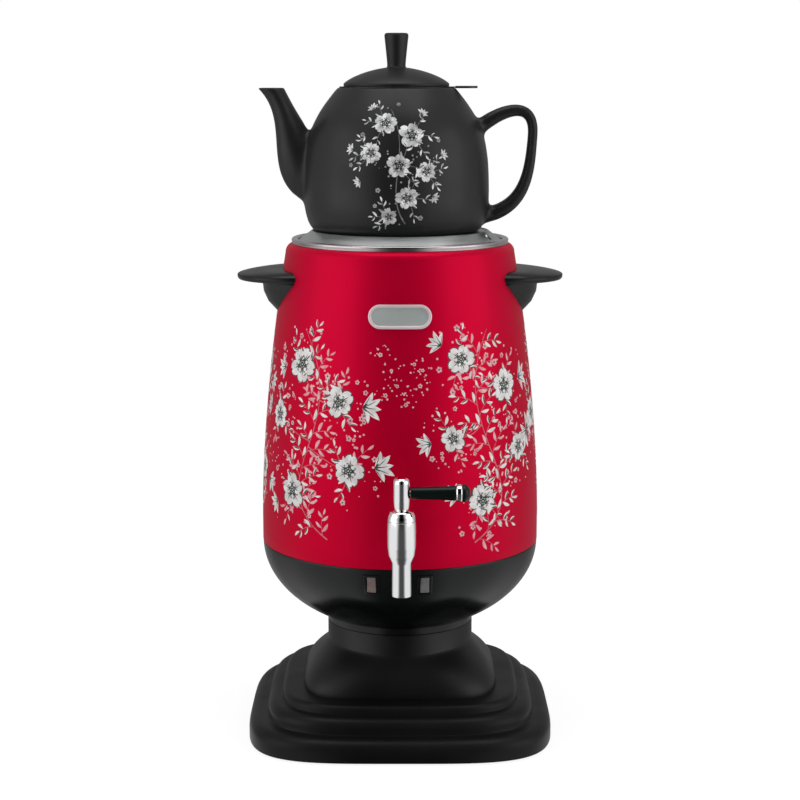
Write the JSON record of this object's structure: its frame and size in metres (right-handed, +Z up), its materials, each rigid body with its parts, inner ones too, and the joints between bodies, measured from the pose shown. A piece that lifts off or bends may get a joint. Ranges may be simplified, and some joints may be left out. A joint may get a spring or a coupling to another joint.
{
  "type": "electric samovar",
  "caption": "Electric samovar on a stepped square foot, with a lever tap, two rocker switches, side handles and a teapot on its lid.",
  "frame": {"origin": "on the floor at the centre of the foot", "axes": "+Z up, the tap and the front towards -Y, the teapot's spout towards -X"},
  "size_m": [0.222, 0.2337, 0.4772],
  "materials": {
    "rubber": "matt",
    "silicone": "satin",
    "base_plastic": "satin",
    "bowl_plastic": "gloss",
    "handle_plastic": "satin",
    "red_paint": "gloss",
    "flower_print": "gloss",
    "chrome": "polished",
    "polished_steel": "polished",
    "zinc_steel": "satin",
    "aluminium": "satin",
    "brass": "satin",
    "white_plastic": "satin",
    "insulation": "matt",
    "rocker_amber": "gloss",
    "rocker_grey": "gloss",
    "ceramic": "satin"
  },
  "bodies": {
    "stand": {"foot_ring": "rubber", "bottom_cover": "base_plastic", "cover_screws": "zinc_steel", "base_housing": "base_plastic", "clamp_plate": "zinc_steel", "pedestal": "base_plastic", "tie_rod": "zinc_steel", "tie_rod_nuts": "zinc_steel", "lower_bowl": "bowl_plastic", "tank_support_plate": "zinc_steel", "outer_casing": "red_paint", "water_tank": "polished_steel", "top_ring": "chrome", "heating_plate": "aluminium", "heating_element": "zinc_steel", "element_bracket": "zinc_steel", "thermostat": "white_plastic", "thermal_cutout": "white_plastic", "terminal_block": "white_plastic", "wiring": "insulation", "power_inlet": "base_plastic", "inlet_pins": "chrome", "inlet_screws": "zinc_steel", "handle_left": "handle_plastic", "handle_right": "handle_plastic", "handle_screws": "zinc_steel", "badge_plate": "chrome", "switch_frame_left": "bowl_plastic", "switch_frame_right": "bowl_plastic", "tap_body": "chrome", "tap_cap": "chrome", "tap_flange": "chrome", "tap_gasket_outer": "silicone", "tap_gasket_inner": "silicone", "tap_nut": "brass"},
    "tap_valve": {"valve_plug": "chrome", "valve_o_rings": "rubber", "lever_rod": "zinc_steel", "lever_grip": "handle_plastic", "lever_ring": "chrome", "lever_knob": "handle_plastic"},
    "switch_left": {"rocker_left": "rocker_amber"},
    "switch_right": {"rocker_right": "rocker_grey"},
    "tank_cover": {"tank_lid": "polished_steel"},
    "pot": {"teapot": "ceramic"},
    "strainer": {"strainer_flange": "polished_steel", "strainer_basket": "polished_steel"},
    "pot_cover": {"teapot_lid": "ceramic"}
  },
  "joints": [
    {"name": "tap_turn", "type": "hinge", "parent": "stand", "child": "tap_valve", "pos_m": [0.001, -0.12489, 0.163], "axis": [0, 0, 1], "range_deg": [-90, 0]},
    {"name": "switch_left_rock", "type": "hinge", "parent": "stand", "child": "switch_left", "pos_m": [-0.01816, -0.08973, 0.12149], "axis": [0.9801, -0.1984, 0], "range_deg": [0, 18]},
    {"name": "switch_right_rock", "type": "hinge", "parent": "stand", "child": "switch_right", "pos_m": [0.01582, -0.09017, 0.12149], "axis": [0.985, 0.1728, 0], "range_deg": [0, 18]},
    {"name": "tank_cover_lift", "type": "slide", "parent": "stand", "child": "tank_cover", "axis": [0, 0, 1], "range_m": [0, 0.06]},
    {"name": "pot_lift", "type": "slide", "parent": "tank_cover", "child": "pot", "axis": [0, 0, 1], "range_m": [0, 0.1]},
    {"name": "strainer_lift", "type": "slide", "parent": "pot", "child": "strainer", "axis": [0, 0, 1], "range_m": [0, 0.09]},
    {"name": "pot_cover_lift", "type": "slide", "parent": "strainer", "child": "pot_cover", "axis": [0, 0, 1], "range_m": [0, 0.05]}
  ]
}
